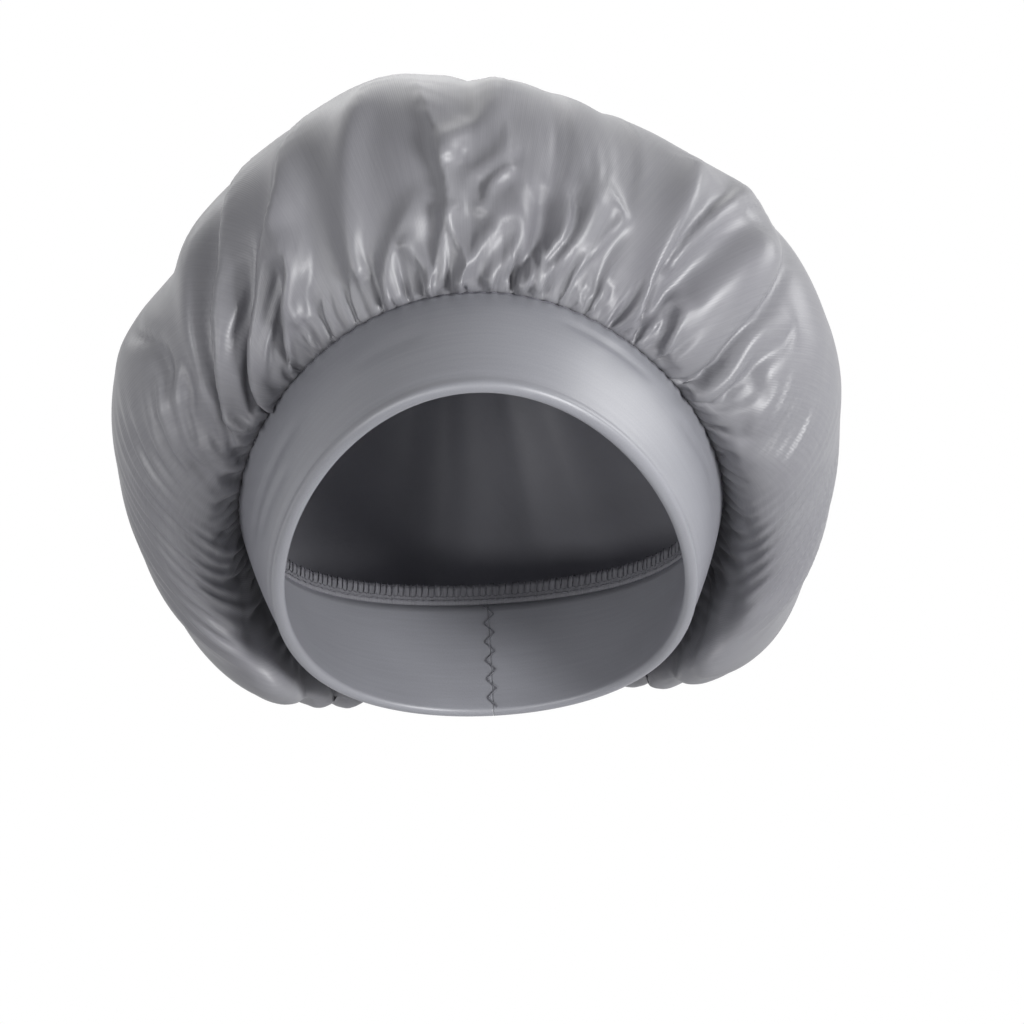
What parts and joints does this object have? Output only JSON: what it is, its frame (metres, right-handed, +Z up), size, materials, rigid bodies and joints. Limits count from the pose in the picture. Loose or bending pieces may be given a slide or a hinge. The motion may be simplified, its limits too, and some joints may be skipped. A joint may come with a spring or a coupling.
{
  "type": "shower cap",
  "caption": "Puffed satin hair cap with a waterproof lining, gathered onto a wide folded stretch band that holds it round the head.",
  "frame": {"origin": "middle of the head opening at ear height, on the head's middle plane", "axes": "as worn: +X to the wearer's left, +Y from the face to the nape, +Z up"},
  "size_m": [0.292, 0.289, 0.2581],
  "materials": {
    "satin": "satin weave, soft sheen",
    "stretch_satin": "fine-grained stretch satin, broad sheen",
    "membrane": "thin soft film, slight gloss",
    "elastic_web": "matt knitted elastic",
    "raw_edge": "matt cut cloth",
    "thread": "matt spun thread"
  },
  "bodies": {
    "root": {"crown_shell": "satin", "waterproof_lining": "membrane", "band_sleeve": "stretch_satin", "band_elastic": "elastic_web", "elastic_lap_thread": "thread", "back_join_thread": "thread", "seam_allowance": "raw_edge", "overlock_edge": "thread", "gather_thread": "thread"}
  },
  "joints": []
}
